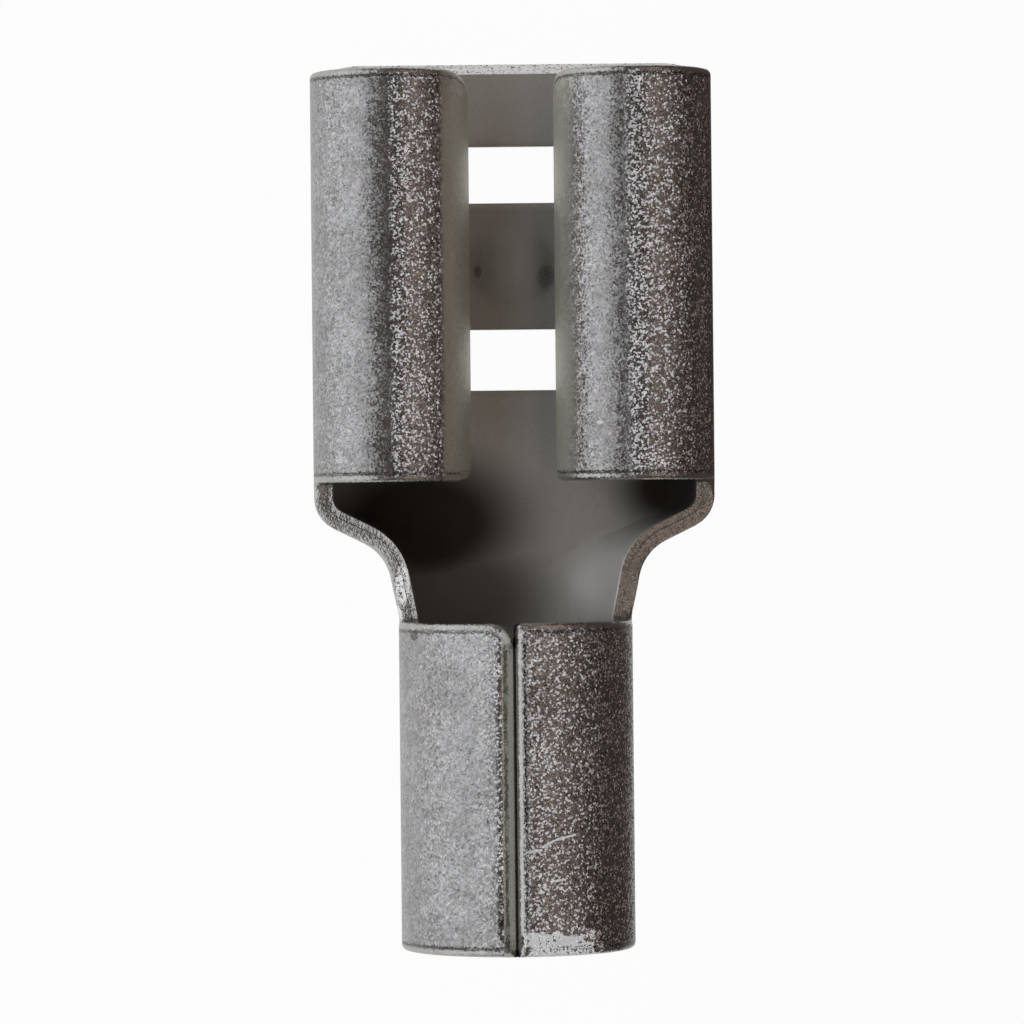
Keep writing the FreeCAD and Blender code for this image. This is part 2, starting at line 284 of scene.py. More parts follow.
def plan_half(y, form, at):
    """Half the width of the trough's middle surface at y.

    In plan the side is a shoulder arc, a straight, a hollow neck arc and a taper to the barrel, each tangent
    to the last.
    """
    half_sheet = form.thickness / 2
    barrel = at.ring + half_sheet
    fall = at.half_width - barrel - form.neck_flare
    radii = form.shoulder_radius + form.neck_radius
    turn = math.atan2(radii, form.shoulder_straight)
    turn += math.asin((fall - radii) / math.hypot(radii, form.shoulder_straight))
    out = form.shoulder_radius - half_sheet
    inward = form.neck_radius + half_sheet
    shoulder_x = at.half_width - form.shoulder_radius
    neck_x = shoulder_x + radii * math.cos(turn) - form.shoulder_straight * math.sin(turn)
    neck_y = at.shoulder - radii * math.sin(turn) - form.shoulder_straight * math.cos(turn)
    end_x, end_y = at.ring, at.barrel_front
    reach = math.hypot(neck_x - end_x, neck_y - end_y)
    taper = math.atan2(neck_x - end_x, neck_y - end_y) - math.asin(inward / reach)
    arc_low = at.shoulder - out * math.sin(turn)
    neck_high = neck_y + inward * math.sin(turn)
    neck_low = neck_y + inward * math.sin(taper)
    on_shoulder = shoulder_x + np.sqrt(np.maximum(out ** 2 - np.clip(at.shoulder - y, 0, out) ** 2, 0))
    on_straight = shoulder_x + out * math.cos(turn) - (arc_low - y) * math.tan(turn)
    on_neck = neck_x - np.sqrt(np.maximum(inward ** 2 - np.clip(y - neck_y, 0, inward) ** 2, 0))
    on_taper = neck_x - inward * math.cos(taper) - (neck_low - y) * math.tan(taper)
    return np.select([y >= arc_low, y >= neck_high, y >= neck_low], [on_shoulder, on_straight, on_neck], on_taper)


def rim_line(y, form, at):
    """Height of the rim at y: level at the rolls, an eased rise down the trough, level at the barrel."""
    first = at.roll_rear - form.notch_corner
    last = at.barrel_front + form.notch_corner
    return form.rim_height + (at.rear_rim - form.rim_height) * eased((first - y) / (first - last))


def looked_up(target, known, values):
    """Where target lies between known values, row by row, on a straight line between its two neighbours."""
    place = np.clip((known < target[:, None]).sum(axis=1), 1, known.shape[1] - 1)
    row = np.arange(len(target))
    low, high = known[row, place - 1], known[row, place]
    part = (target - low) / np.maximum(high - low, TINY * TINY)
    return [v[row, place - 1] + part * (v[row, place] - v[row, place - 1]) for v in values]


def trough(y, part, form, at):
    """The middle surface of base, trough and barrel's underside: x and z at y, a share of the way to the rim.

    Each section is a flat, a conic corner and an upright wall. Down the trough the flat fades out and the
    corner grows from the base's bend to the barrel's round. Places on a section go by the length along it.
    """
    shape = y.shape
    y, part = y.ravel(), part.ravel()
    along = np.clip((at.shoulder - y) / (at.shoulder - at.barrel_front), 0, 1)
    ease = eased(along)
    half_sheet = form.thickness / 2
    flat = at.seat + (at.flat_half - at.seat) * (1 - along ** 2) ** FLAT_FADE
    half = np.where(y < at.barrel_front, at.ring, plan_half(y, form, at))
    upright = form.bend_radius + (BORE_HEIGHT - form.bend_radius) * ease
    low = half_sheet + ease * (half - flat) * math.tan(at.seat_tilt)
    weight = np.cos((math.pi / 2 - ease * at.seat_tilt) / 2)
    flat, half, upright, low, weight = (v[:, None] for v in (flat, half, upright, low, weight))
    u = np.linspace(0, 1, CURVE_SAMPLES)[None, :]
    a, b, c = (1 - u) ** 2, 2 * u * (1 - u) * weight, u ** 2
    curve_x = (a * flat + b * half + c * half) / (a + b + c)
    curve_z = (a * half_sheet + b * low + c * upright) / (a + b + c)
    steps = np.linspace(0, 1, FLAT_SAMPLES, endpoint=False)[None, :]
    wall = upright + (1 - steps[:, ::-1]) * form.bend_radius
    x = np.hstack([steps * flat, curve_x, half + 0 * wall])
    z = np.hstack([half_sheet + TINY * steps + 0 * flat, curve_z, wall])
    run = np.hstack([0 * flat, np.cumsum(np.hypot(np.diff(x), np.diff(z)), axis=1)])
    total = looked_up(rim_line(y, form, at), z, [run])[0]
    x, z = looked_up(part * total, run, [x, z])
    return x.reshape(shape), z.reshape(shape)


def detent_lift(x, y, form, at):
    """How high the detent lifts the sheet: a round cap whose foot is eased into the web."""
    middle = at.mouth - (form.window_first + form.window_first_length + form.window_second) / 2
    away = np.hypot(x, y - middle) / form.detent_radius
    return form.detent_height * (1 - np.clip(away, 0, 1) ** 2) ** DETENT_FOOT


def centre_surface(y, part, form, at):
    """Points of the middle surface between the rims; part runs from -1 at the left rim to 1 at the right."""
    x, z = trough(y, np.abs(part), form, at)
    x = x * np.sign(part)
    return np.stack([x, y, z + detent_lift(x, y, form, at)], axis=-1)


def centre_normals(y, part, form, at):
    """Outward normals of that surface, from points a little to each side of each place."""
    step = 0.004
    gap = step * MM
    across = centre_surface(y, part + step, form, at) - centre_surface(y, part - step, form, at)
    along = centre_surface(y - gap, part, form, at) - centre_surface(y + gap, part, form, at)
    normal = np.cross(across, along)
    return normal / np.linalg.norm(normal, axis=-1, keepdims=True)


# The grid over the middle surface


def spaced(stops, step):
    """Places from the first stop to the last, evenly spaced between stops and never wider than a step."""
    runs = []
    for first, last in zip(stops, stops[1:]):
        count = max(1, math.ceil(abs(last - first) / step - TINY))
        runs.append(np.linspace(first, last, count, endpoint=False))
    return np.concatenate(runs + [[stops[-1]]])


def towards_edge(stops, step):
    """Evenly spaced places that crowd together towards the last stop, which is a free edge."""
    body = spaced(list(stops[:-1]) + [stops[-1] - EDGE_STEPS[-1]], step)
    return np.concatenate([body, (stops[-1] - EDGE_STEPS[:-1])[::-1]])


def between_edges(stops, step):
    """The same, crowded at both ends."""
    start = stops[0] + EDGE_STEPS[:-1]
    return np.concatenate([start, towards_edge([stops[0] + EDGE_STEPS[-1]] + list(stops[1:]), step)])


def crowded(first, last, cells):
    """Places after the first, as many as there are cells, crowded towards the last, which is a free edge."""
    body = np.linspace(first, last - EDGE_STEPS[-1], cells - len(EDGE_STEPS) + 2)
    return np.concatenate([body[1:], (last - EDGE_STEPS[:-1])[::-1]])


def corner_setback(below, rise, setback):
    """How far an arc has left a straight end where it is some way below the arc's start.

    The arc is tangent to the end, and over its rise it comes to the given setback.
    """
    radius = (rise ** 2 + setback ** 2) / (2 * setback)
    return radius - np.sqrt(radius ** 2 - np.clip(below, 0, rise) ** 2)


def notch(above, corner):
    """How far a round corner stands off the end of what it joins, at a height over its other side."""
    return corner - np.sqrt(corner ** 2 - np.clip(corner - above, 0, corner) ** 2)


def near(y, place, reach):
    """How near y is to a place: 1 there, falling as a square to 0 at its reach on both sides."""
    return np.clip(1 - np.abs(y - place) / reach, 0, 1) ** 2


def carried(x, z, heading, y, hand):
    """A section carried along Y: its points at the rows' places, and normals square to its heading."""
    flat = 0 * y
    points = np.stack([hand * x + flat, y, z + flat], axis=-1)
    normals = np.stack([hand * np.sin(heading) + flat, flat, -np.cos(heading) + flat], axis=-1)
    return points, normals


class Grid:
    """Rows of the middle surface from the mouth to the barrel's rear, columns from the left edge to the right."""

    def __init__(self, form):
        at = Layout(form)
        self.form, self.at = form, at
        self.stops_y = self.rows()
        part = towards_edge([0, form.window_width / 2, at.flat_half, at.bend_end, at.rim_start], CELL)
        self.part = part / at.rim_start
        middle = np.concatenate([-self.part[:0:-1], self.part])
        self.wings = WING_COLUMNS
        self.columns = len(middle) + 2 * self.wings
        centre_y = self.centre_rows(np.abs(middle))
        right = self.side(1)
        left = self.side(-1)
        centre = centre_surface(centre_y, middle[None, :] + 0 * centre_y, form, at)
        normal = centre_normals(centre_y, middle[None, :] + 0 * centre_y, form, at)
        self.points = np.concatenate([left[0][:, ::-1], centre, right[0]], axis=1)
        self.normals = np.concatenate([left[1][:, ::-1], normal, right[1]], axis=1)
        self.live = self.cells(middle)
        self.round_windows()

    def rows(self):
        """Places of the rows in a straight strip: the rolls, the trough and the barrel, one after another."""
        form, at = self.form, self.at
        margin = form.window_corner / 3
        stops = [at.mouth]
        for front, long in at.windows:
            rear = front - long
            stops += [front + margin, front, front - margin, rear + margin, rear, rear - margin]
        roll = -between_edges([-y for y in stops + [at.roll_rear]], CELL)
        barrel = -between_edges([-at.barrel_front, -at.barrel_rear], BARREL_CELL)
        middle = spaced([at.roll_rear, at.barrel_front], TROUGH_CELL)
        self.roll_rows = len(roll)
        self.barrel_row = len(roll) + len(middle) - 2
        return np.concatenate([roll, middle[1:-1], barrel])

    def centre_rows(self, part):
        """The rows' places between the rims, drawn towards the rim's notches at both ends of the trough.

        In front they are drawn back up the bend, from the base's lip to where the wings start.
        """
        form, at = self.form, self.at
        y = self.stops_y[:, None] + 0 * part[None, :]
        pull = form.notch_corner * eased((part[None, :] - 0.5) / 0.5)
        reach = NOTCH_REACH * form.notch_corner
        between = (at.roll_rear - y) / (at.roll_rear - at.barrel_front)
        inside = (between > 0) & (between < 1)
        ahead = np.where(inside, 1 - between, near(y, at.roll_rear, reach) * (between <= 0))
        behind = np.where(inside, between, near(y, at.barrel_front, reach) * (between >= 1))
        bent = eased((part[None, :] * at.rim_start - at.flat_half) / (at.bend_end - at.flat_half))
        front = near(y, at.mouth, FRONT_SHARE * form.roll_length)
        return y - pull * ahead + pull * behind - form.base_lip * bent * front

    def side(self, hand):
        """Points and normals of a wing and, behind the trough, of the barrel's half above the rim."""
        form, at = self.form, self.at
        count = self.wings
        wing = crowded(at.rim_start, at.wing_end, count)
        rim = trough(np.array([at.barrel_rear]), np.array([1.0]), form, at)
        low = at.seat + at.ring * (math.atan2(rim[0][0], BORE_HEIGHT - rim[1][0]) - at.seat_tilt)
        top = ring_seam(form, at) + (form.seam_reach - form.seam_shift if hand < 0 else form.seam_shift)
        flap = crowded(low, top, count)
        x, z, heading = curl(wing, form, at)
        y = self.wing_rows(wing, x, z, hand)
        roll = carried(x, z, heading, y, hand)
        x, z, heading = ring(flap, form, at)
        y = self.flap_rows(x, z, hand)
        barrel = carried(x, z, heading, y, hand)
        behind = (np.arange(len(self.stops_y)) >= self.barrel_row)[:, None, None]
        return np.where(behind, barrel[0], roll[0]), np.where(behind, barrel[1], roll[1])

    def wing_rows(self, s, x, z, hand):
        """A wing's rows: drawn back from the base's lip in front, rounded at the lips and notched at the rim."""
        form, at = self.form, self.at
        lips = s > at.wall_end + at.roll * math.pi / 2
        if hand < 0:
            corners = form.front_corner_left, form.rear_corner_left
        else:
            corners = form.front_corner_right, form.rear_corner_right
        below = form.lip_height - z
        front, rear = (corner_setback(below + rise, rise, setback) * lips for rise, setback in corners)
        rear = rear - notch(z - form.rim_height, form.notch_corner) * ~lips
        y = self.stops_y[:, None] + 0 * x
        at_front = near(y, at.mouth, FRONT_SHARE * form.roll_length)
        at_rear = near(y, at.roll_rear, REAR_SHARE * form.roll_length)
        return y - (front + form.base_lip) * at_front + rear * at_rear

    def flap_rows(self, x, z, hand):
        """The barrel's rows above the rim: notched at the rim in front, with a rounded corner at the seam."""
        form, at = self.form, self.at
        corner = form.seam_corner_left if hand < 0 else form.seam_corner_right
        upper = z > BORE_HEIGHT
        seam = notch(x - x[-1], corner) * upper
        forward = notch(z - at.rear_rim, form.notch_corner) * ~upper
        y = self.stops_y[:, None] + 0 * x
        return y + (forward - seam) * near(y, at.barrel_front, NOTCH_REACH * form.notch_corner)

    def cells(self, middle):
        """Which cells of the grid are sheet: all but the windows and what is open beside the trough."""
        form, at = self.form, self.at
        row = np.arange(len(self.stops_y) - 1)[:, None]
        column = np.arange(self.columns - 1)[None, :]
        beside = (column < self.wings) | (column >= self.columns - 1 - self.wings)
        live = ~(beside & (row >= self.roll_rows - 1) & (row < self.barrel_row))
        y = (self.stops_y[:-1] + self.stops_y[1:])[:, None] / 2
        s = np.zeros(self.columns - 1)
        s[self.wings:-self.wings] = (middle[:-1] + middle[1:]) / 2 * at.rim_start
        s[: self.wings] = s[-self.wings:] = at.wing_end
        inside = np.abs(s)[None, :] < form.window_width / 2
        for front, long in at.windows:
            live &= ~(inside & (y < front) & (y > front - long))
        return live

    def round_windows(self):
        """Draws the grid's places in each window's corners in to an arc about the corner's centre."""
        form, radius = self.form, self.form.window_corner
        x, y, z = (self.points[..., axis] for axis in range(3))
        for front, long in self.at.windows:
            middle = front - long / 2
            centre_x = np.sign(x) * (form.window_width / 2 - radius)
            centre_y = middle + np.sign(y - middle) * (long / 2 - radius)
            out_x, out_y = x - centre_x, y - centre_y
            corner = (z < form.thickness) & (out_x * np.sign(x) > 0) & (out_y * np.sign(y - middle) > 0)
            corner &= np.maximum(np.abs(out_x), np.abs(out_y)) < radius + TINY
            away = np.maximum(np.hypot(out_x, out_y), TINY)
            self.points[..., 0] = np.where(corner, centre_x + out_x / away * radius, x)
            self.points[..., 1] = np.where(corner, centre_y + out_y / away * radius, y)


# The skin: both faces of the sheet and its cut edges

# The cut from the outer face to the inner one: a sheared band, a small step and a torn band, which stands back
EDGE_PROFILE = np.array([0.0, 0.3, 0.58, 0.62, 0.82, 1.0])
SHEAR_ROWS = 2
SHEAR, STEP, TORN = 0.5, 0.75, 1.0
CUT_BANDS = (SHEAR, SHEAR, STEP, TORN, TORN)
BAND_UNEVEN, BAND_WAVE = 0.05, 0.6 * MM
TORN_BACK, TORN_UNEVEN, TORN_WAVE = 0.012 * MM, 0.006 * MM, 0.13 * MM
CREASE = math.radians(34)

# How the edges are rounded outside, in millimetres, and bevelled inside, and over what share of half the base's
# columns the bevel that leads the tab in fades out
ROUNDING = {
    "plain": 0.05,
    "lip": 0.12,
    "seam_left": 0.05,
    "seam_right": 0.15,
    "roll_front": 0.1,
    "roll_rear": 0.1,
    "base_front": 0.03,
    "barrel_front": 0.08,
    "barrel_rear": 0.11,
}
BEVEL, LIP_BEVEL = 0.03 * MM, 0.05 * MM
LEAD_IN_FADE = 0.3

# Three slanting waves: how fast each turns across, along and up, and where it starts
WAVES = np.array([[6.1, 2.3, 4.7], [0, 3.7, -5.2], [4.3, -6.7, 0]])
WAVE_STARTS = np.array([0, 1.3, 0.5])


class EdgeShape:
    """How the sheet's edge is shaped at every place of the grid: outer rounding, inner bevel and slant.

    Along the front each goes over from the wings' value to the base's in an eased step.
    """

    def __init__(self, grid):
        form, barrel = grid.form, grid.barrel_row
        rows, columns = grid.points.shape[:2]
        middle = (columns - 1) / 2
        past_base = np.abs(np.arange(columns) - middle) - middle + grid.wings
        base = 1 - eased(1 + past_base / (LEAD_IN_FADE * len(grid.part)))
        outer = np.full((rows, columns), ROUNDING["plain"])
        outer[:, [0, -1]] = ROUNDING["lip"]
        outer[barrel:, 0] = ROUNDING["seam_left"]
        outer[barrel:, -1] = ROUNDING["seam_right"]
        outer[grid.roll_rows - 1] = ROUNDING["roll_rear"]
        outer[barrel] = ROUNDING["barrel_front"]
        outer[-1] = ROUNDING["barrel_rear"]
        outer[0] = ROUNDING["roll_front"] + (ROUNDING["base_front"] - ROUNDING["roll_front"]) * base
        self.outer = outer * MM
        self.bevel_length = np.full((rows, columns), BEVEL)
        self.bevel_length[0] += (form.lead_in_length - BEVEL) * base
        self.bevel_depth = np.full((rows, columns), BEVEL)
        self.bevel_depth[:, [0, -1]] = LIP_BEVEL
        self.bevel_depth[0] = BEVEL + (form.lead_in_depth - BEVEL) * base
        self.slant_depth = np.zeros((rows, columns))
        self.slant_depth[barrel:, 0] = form.seam_slope_depth


def border(live, corners):
    """Directed edges round all that is sheet, with the sheet to their left as seen from outside.

    Each side of the live cells counts where the neighbour across it isn't live.
    """
    padded = np.pad(live, 1)
    neighbours = [padded[:-2, 1:-1], padded[1:-1, 2:], padded[2:, 1:-1], padded[1:-1, :-2]]
    edges = []
    for start, end, beyond in zip(corners, corners[1:] + corners[:1], neighbours):
        free = live & ~beyond
        edges.append(np.stack([start[free], end[free]], axis=1))
    return np.concatenate(edges)


def nearest_edge(points, edges):
    """For each point, how far the border is, which of its edges is nearest and where along that edge."""
    start, run = points[edges[:, 0]], points[edges[:, 1]] - points[edges[:, 0]]
    square = (run ** 2).sum(axis=1)
    ahead = points @ run.T - (start * run).sum(axis=1)
    part = np.clip(ahead / square, 0, 1)
    apart = (points ** 2).sum(axis=1)[:, None] + (start ** 2).sum(axis=1) - 2 * points @ start.T
    distance = apart - 2 * part * ahead + part ** 2 * square
    best = distance.argmin(axis=1)
    row = np.arange(len(points))
    return np.sqrt(np.maximum(distance[row, best], 0)), best, part[row, best]


def wander(points, size):
    """A smooth uneven number between -1 and 1 for each point: the mean of three waves of unlike lengths."""
    return np.sin(points / size @ WAVES.T + WAVE_STARTS).mean(axis=-1)


def face_drops(form, shape, away, ends, part):
    """How far the outer and the inner face fall towards the middle surface, by the distance to the nearest edge.

    The outer one falls in a quarter round, and at the seam's left edge by a slant too, the inner one in a bevel.
    """
    outer, bevel_length, bevel_depth, slant_depth = (
        values.ravel()[ends[:, 0]] * (1 - part) + values.ravel()[ends[:, 1]] * part
        for values in (shape.outer, shape.bevel_length, shape.bevel_depth, shape.slant_depth)
    )
    fall = outer - np.sqrt(outer ** 2 - np.clip(outer - away, 0, None) ** 2)
    slant = slant_depth * np.clip(1 - away / form.seam_slope, 0, 1)
    return fall + slant, bevel_depth * np.clip(1 - away / bevel_length, 0, 1)


def outward_ways(points, normals, edges, rim):
    """Unit ways out of the sheet at its rim: the sum, for each point, of its edges' cross products with its normal."""
    run = points[edges[:, 1]] - points[edges[:, 0]]
    outward = np.zeros_like(points)
    for end in (0, 1):
        np.add.at(outward, edges[:, end], np.cross(run, normals[edges[:, end]]))
    return outward[rim] / np.linalg.norm(outward[rim], axis=1, keepdims=True)


def cut_rows(outside, inside, points, outward):
    """Rows of places down the cut, from its outer to its inner border: the profile's shares, made a little uneven.

    The torn rows stand back against the way out, by a small uneven distance.
    """
    share_in = EDGE_PROFILE[1:-1, None]
    share_in = share_in + BAND_UNEVEN * wander(points, BAND_WAVE) * (1 - share_in)
    torn = np.arange(len(share_in))[:, None] >= SHEAR_ROWS
    back = torn * (TORN_BACK + TORN_UNEVEN * wander(points, TORN_WAVE))
    return outside + (inside - outside) * share_in[..., None] - outward * back[..., None]


def sheet_mesh(form):
    """The folded sheet's vertices and faces, and how each was cut, whether it is inside and how far its edge is.

    Both faces of the sheet stand half its thickness off the middle surface, along its normal, less what they
    fall towards a free edge. Rows of quads through the thickness close every edge.
    """
    grid = Grid(form)
    index = np.arange(grid.points[..., 0].size).reshape(grid.points.shape[:2])
    corners = [index[:-1, :-1], index[:-1, 1:], index[1:, 1:], index[1:, :-1]]
    used, quads = np.unique(np.stack([places[grid.live] for places in corners], axis=1), return_inverse=True)
    quads = quads.reshape(-1, 4)
    edges = np.searchsorted(used, border(grid.live, corners))
    points = grid.points.reshape(-1, 3)[used]
    normals = grid.normals.reshape(-1, 3)[used]
    away, nearest, part = nearest_edge(points, edges)
    outer_drop, inner_drop = face_drops(form, EdgeShape(grid), away, used[edges[nearest]], part)
    outside = points + normals * (form.thickness / 2 - outer_drop)[:, None]
    inside = points - normals * (form.thickness / 2 - inner_drop)[:, None]
    rim, ends = np.unique(edges, return_inverse=True)
    start, end = ends.reshape(-1, 2).T
    rows = cut_rows(outside[rim], inside[rim], points[rim], outward_ways(points, normals, edges, rim))
    total, row_places = len(points), rows[..., 0].size
    levels = [rim, *(2 * total + np.arange(row_places).reshape(-1, len(rim))), total + rim]
    row, column = np.nonzero(grid.live)
    slanted = (row >= grid.barrel_row) & (column < len(EDGE_STEPS) - 1)
    faces, cuts = [quads, quads[:, ::-1] + total], [np.where(slanted, SHEAR, 0), np.zeros(len(quads))]
    for band, upper, lower in zip(CUT_BANDS, levels, levels[1:]):
        faces.append(np.stack([upper[end], upper[start], lower[start], lower[end]], axis=1))
        cuts.append(np.full(len(edges), band))
    cuts = np.concatenate(cuts)
    inner = np.zeros(len(cuts))
    inner[len(quads): 2 * len(quads)] = 1
    edge = np.concatenate([away, away, np.zeros(row_places)]) / MM
    vertices = np.concatenate([outside, inside, rows.reshape(-1, 3)])
    return vertices, np.concatenate(faces), {"cut": cuts, "inside": inner, "edge": edge}


def made_mesh(name, vertices, faces, traits):
    """Puts whole arrays of places and quads into a mesh, smooth but for its creases."""
    mesh = bpy.data.meshes.new(name)
    mesh.vertices.add(len(vertices))
    mesh.vertices.foreach_set("co", vertices.astype(np.float32).ravel())
    mesh.loops.add(faces.size)
    mesh.loops.foreach_set("vertex_index", faces.astype(np.int32).ravel())
    mesh.polygons.add(len(faces))
    mesh.polygons.foreach_set("loop_start", np.arange(0, faces.size, 4, dtype=np.int32))
    mesh.update(calc_edges=True)
    mesh.validate()
    mesh.shade_smooth()
    mesh.set_sharp_from_angle(angle=CREASE)
    for trait, values in traits.items():
        domain = "FACE" if len(values) == len(faces) else "POINT"
        mesh.attributes.new(trait, "FLOAT", domain).data.foreach_set("value", values.astype(np.float32))
    return mesh


# Materials

# Regions of the plating with soft borders: on each axis, in millimetres, from where to where a region rises from
# 0 to 1
FRONT = HIGH.y / MM
REGIONS = {
    "lead_in": [("Y", FRONT - 0.25, FRONT - 0.2)],
    "left_lip": [("X", -1.42, -1.32), ("X", 0, -0.5), ("Y", 0.2, 0.7), ("Z", 0.8, 1.0)],
    "right_lip": [("X", 1.45, 0.95), ("X", 0, 0.5), ("Y", 0.2, 0.7), ("Z", 0.8, 1.0)],
    # Painted shade: the right flanks of the right roll and of the barrel, turned away from the light
    "roll_right_shade": [("X", 2.9, 3.5)],
    "barrel_right_shade": [("X", 0.9, 1.6), ("Y", -2.0, -2.3)],
    # Painted highlight on the rounded front edge of the barrel's left half
    "barrel_corner_highlight": [("X", -0.25, -0.35), ("Y", -2.4, -2.3), ("Y", -2.0, -2.1)],
    "seam": [("X", -0.4, -0.35), ("X", 0.1, 0.05), ("Y", -2.0, -2.1), ("Z", 3.8, 4.0)],
    # Painted shade at the foot of the seam's slanted cut, beside the right half
    "seam_shade": [("X", -0.07, -0.05)],
    "web": [("Y", 3.3, 3.45), ("Y", 6.0, 5.85)],
    "top": [("Z", 3.0, 3.3)],
    # Painted highlight: the bright patch near the barrel's rear end, where a tilted face reflects the light
    "barrel_end_highlight": [("X", 0.03, 0.2), ("X", 1.53, 1.36), ("Y", -8.94, -8.86), ("Y", -8.34, -8.42)],
    "coarse_left": [("Y", -0.3, 0), ("X", -2.52, -2.25), ("X", -1.1, -1.3)],
    "coarse_right": [("Y", -0.3, 0), ("X", 2.12, 2.45)],
    "coarse_barrel": [("Y", 0, -0.3), ("X", -1.0, -0.6)],
}

# Spots on the plating: the middle and the radii across and along, in millimetres, the shares of the radii
# between which a spot fades out, and its strength
SPOTS = {
    # Painted shade in the trough: along the left wall, under the right roll's end and at the left wall's foot
    "wall_shade": ((-1.9, -0.4), (2.6, 1.75), (0.4, 1.15), 1),
    "under_roll_shade": ((3.1, 0.25), (1.3, 1.1), (0.3, 1.1), 1),
    "foot_shade": ((-1.5, -2.0), (2.6, 1.7), (0.45, 1.15), 0.78),
    # Painted highlight: the left light's reflection on the trough's right wall
    "wall_highlight": ((1.95, -1.6), (0.9, 1.0), (0.4, 1.2), 1),
    # Painted highlight: bright spots on the trough's left cut rim
    "rim_highlight": ((-2.24, -1.64), (0.14, 0.4), (0.6, 1.2), 1),
    # Dark spots on the web at both sides of the detent
    "web_spot_left": ((-0.69, 4.64), (0.09, 0.14), (0.5, 1.2), 1),
    "web_spot_right": ((0.68, 4.52), (0.2, 0.3), (0.4, 1.2), 1),
    "neck_pit": ((-1.99, -2.62), (0.1, 0.12), (0.4, 1.1), 1),
    "seam_stain": ((-0.33, -8.0), (0.09, 0.7), (0.4, 1.2), 1),
    "roll_nick": ((1.7, 1.54), (0.08, 0.05), (0.3, 1.1), 0.6),
}

# Scratches at the wire end: two places and the width, in millimetres
SCRATCHES = (
    ((0.45, -6.72), (0.75, -6.56), 0.045),
    ((0.7, -6.58), (1.2, -6.46), 0.04),
    ((0.15, -6.8), (0.5, -6.76), 0.04),
    ((0.6, -7.38), (0.95, -7.34), 0.04),
)

# Distances from a free edge in millimetres: how unevenly they are measured, and where the lighter band along the edge,
# a painted highlight of its rounding, and both sides of the groove behind it, darkened with painted shade, fade
EDGE_UNEVEN = 0.12
EDGE_HIGHLIGHT = (0.13, 0.09)
GROOVE_OUTER, GROOVE_INNER = (0.13, 0.15), (0.2, 0.165)

# How deep the relief goes, how the large grains compare with the fine ones in size and lean, how much their tints
# differ, and the share of grains that doesn't glint
RELIEF = 0.02 * MM
LARGE_SIZE, LARGE_LEAN = 2.1, 0.3
TINT = 0.08
NOT_GLINTING = 0.42

# How much of the floor's white the camera and the metal see, and, in half widths of the terminal, where the floor is
# painted darker to the right, a painted shadow that the metal reflects, and where its white in the metal ends
SEEN_WHITE, GLOSSY_WHITE = 0.97, 0.68
FLOOR_DARKENS, WHITE_ENDS = (0, 1.5), (1.2, 0.9)
WHITE = (1.0, 1.0, 1.0)


def maths(operation, backwards=False):
    """A method that puts a Math node after its numbers, in their order or backwards."""

    def method(self, *others):
        node = self.tree.nodes.new("ShaderNodeMath")
        node.operation = operation
        terms = (self, *others)
        for entry, term in zip(node.inputs, terms[::-1] if backwards else terms):
            set_socket(self.tree, entry, term)
        return Number(self.tree, node.outputs[0])

    return method


class Number:
    """A number on its way through a node tree, so that its maths can be written as an expression."""

    def __init__(self, tree, socket):
        self.tree = tree
        self.socket = socket

    __add__ = __radd__ = maths("ADD")
    __sub__ = maths("SUBTRACT")
    __rsub__ = maths("SUBTRACT", backwards=True)
    __mul__ = __rmul__ = maths("MULTIPLY")
    __truediv__ = maths("DIVIDE")
    __pow__ = maths("POWER")
    at_least = maths("MAXIMUM")
    at_most = maths("MINIMUM")
    __abs__ = maths("ABSOLUTE")

    def rise(self, start, end):
        """An eased step from 0 at start to 1 at end; start may be the larger."""
        node = self.tree.nodes.new("ShaderNodeMapRange")
        node.interpolation_type = "SMOOTHSTEP"
        for entry, value in zip(node.inputs, (self, start, end, 0.0, 1.0)):
            set_socket(self.tree, entry, value)
        return Number(self.tree, node.outputs[0])


def set_socket(tree, socket, value):
    """Links a value to a socket, or writes it there where it is a plain number or colour."""
    if isinstance(value, Number):
        tree.links.new(value.socket, socket)
    else:
        socket.default_value = value


